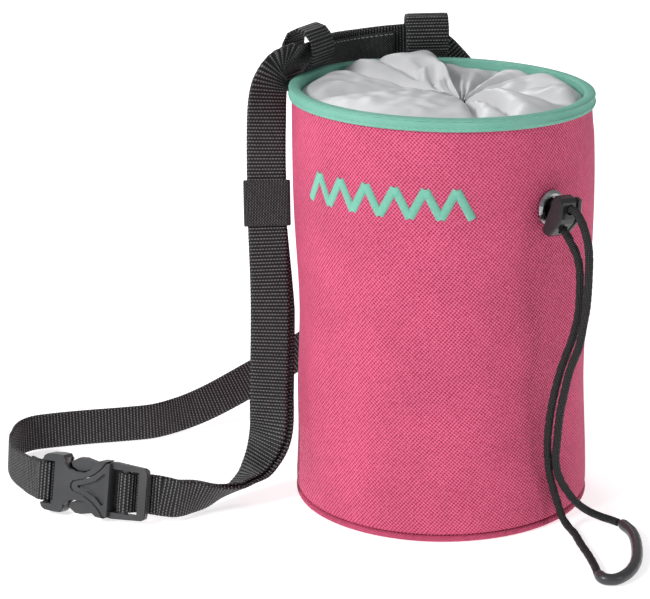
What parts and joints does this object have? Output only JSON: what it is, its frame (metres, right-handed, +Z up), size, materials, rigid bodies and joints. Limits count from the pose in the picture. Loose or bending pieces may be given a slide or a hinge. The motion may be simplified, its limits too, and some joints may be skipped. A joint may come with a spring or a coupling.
{
  "type": "climbing chalk bag",
  "caption": "Drawstring chalk bag for climbing: round fabric bag with gathered collar, cord lock, belt loops and a buckled waist belt.",
  "frame": {"origin": "middle of the base panel's underside, where the bag rests on the floor", "axes": "+Z up the bag to its mouth; -Y towards the front, -X towards the buckled belt, +X to the right seen from the front"},
  "size_m": [0.2445, 0.177, 0.1787],
  "materials": {
    "shell_fabric": "matte",
    "binding_tape": "matte",
    "collar_nylon": "satin",
    "webbing": "matte",
    "elastic": "matte",
    "acetal": "satin",
    "nickel": "polished",
    "cord_nylon": "matte",
    "shrink_tube": "glossy"
  },
  "bodies": {
    "bag": {"side_wall": "shell_fabric", "base_panel": "shell_fabric", "rim_binding": "binding_tape", "collar": "collar_nylon", "loop_right": "webbing", "loop_left": "webbing", "belt_webbing": "webbing", "brush_sleeve": "elastic", "keeper": "elastic", "buckle_socket": "acetal", "buckle_prongs": "acetal", "eyelet": "nickel", "lock_body": "acetal", "cord_left": "cord_nylon", "cord_right": "cord_nylon", "pull_tube": "shrink_tube"},
    "lock_button": {"lock_plunger": "acetal"}
  },
  "joints": [
    {"name": "lock_press", "type": "slide", "parent": "bag", "child": "lock_button", "axis": [-0.7516, -0.6462, 0.1324], "range_m": [0, 0.0012], "stiffness_N_per_m": 300, "springref_m": -0.004}
  ]
}
